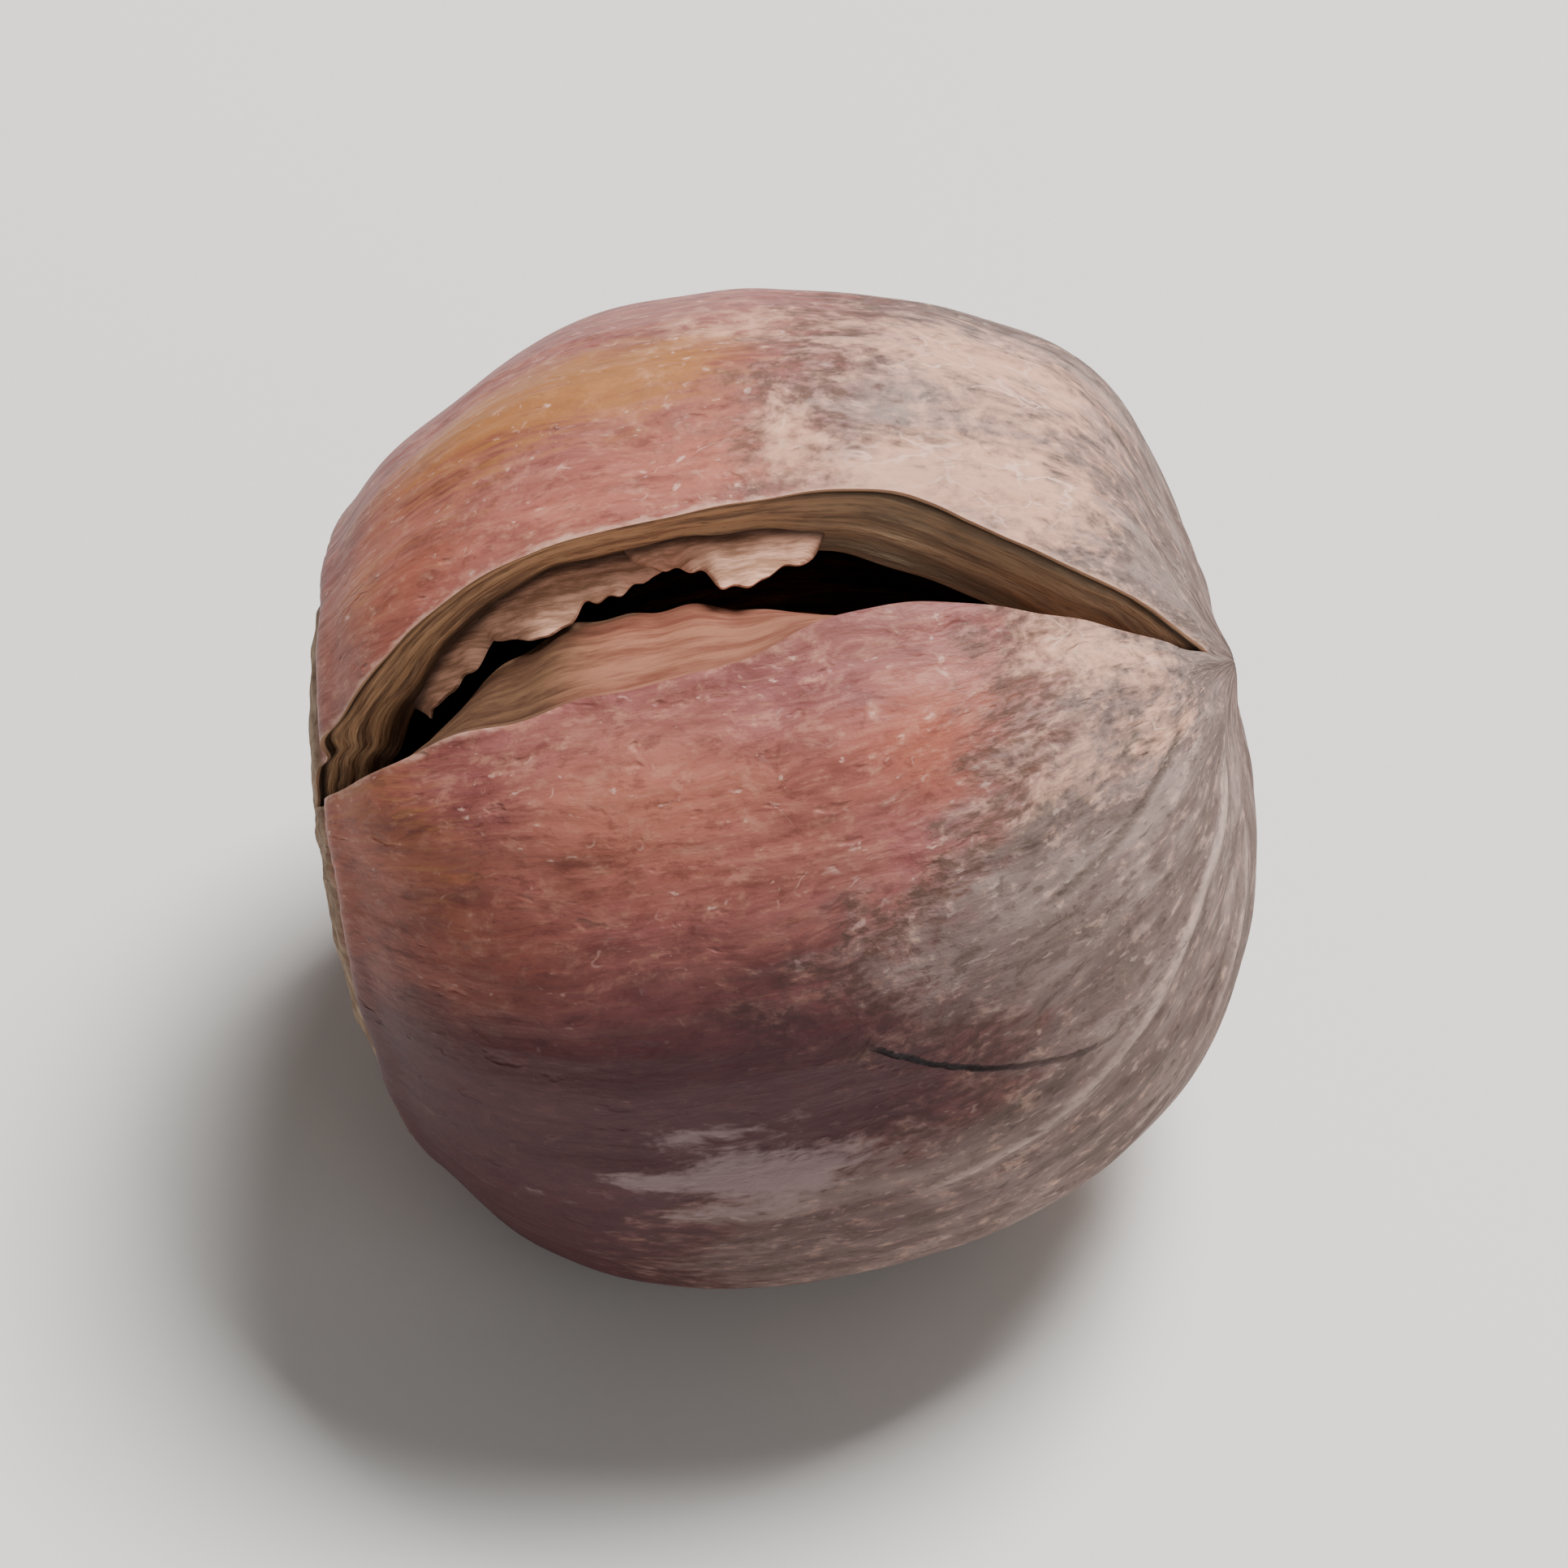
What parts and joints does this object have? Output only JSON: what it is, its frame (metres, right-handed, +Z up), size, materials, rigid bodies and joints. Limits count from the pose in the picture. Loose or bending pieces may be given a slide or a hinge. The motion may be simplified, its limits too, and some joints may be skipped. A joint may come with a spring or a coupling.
{
  "type": "hazelnut",
  "caption": "Roasted hazelnut lying on its side, its woody shell cracked open from the base to the tip, with the loose kernel inside.",
  "frame": {"origin": "centre of the small flat spot that the nut rests on", "axes": "+Z up. The nut's own axis runs from its base disc (-X side) to its tip (+X side), turned 2.5 degrees towards +Y, with the tip rising 13 degrees. The crack faces up, a little towards -Y"},
  "size_m": [0.0205, 0.0213, 0.0211],
  "materials": {
    "shell": "satin reddish-brown nut shell with fine streaks along it, grey-beige down towards the tip",
    "kernel": "dry wrinkled brown kernel skin"
  },
  "bodies": {
    "root": {"shell": "shell", "kernel": "kernel"}
  },
  "joints": []
}
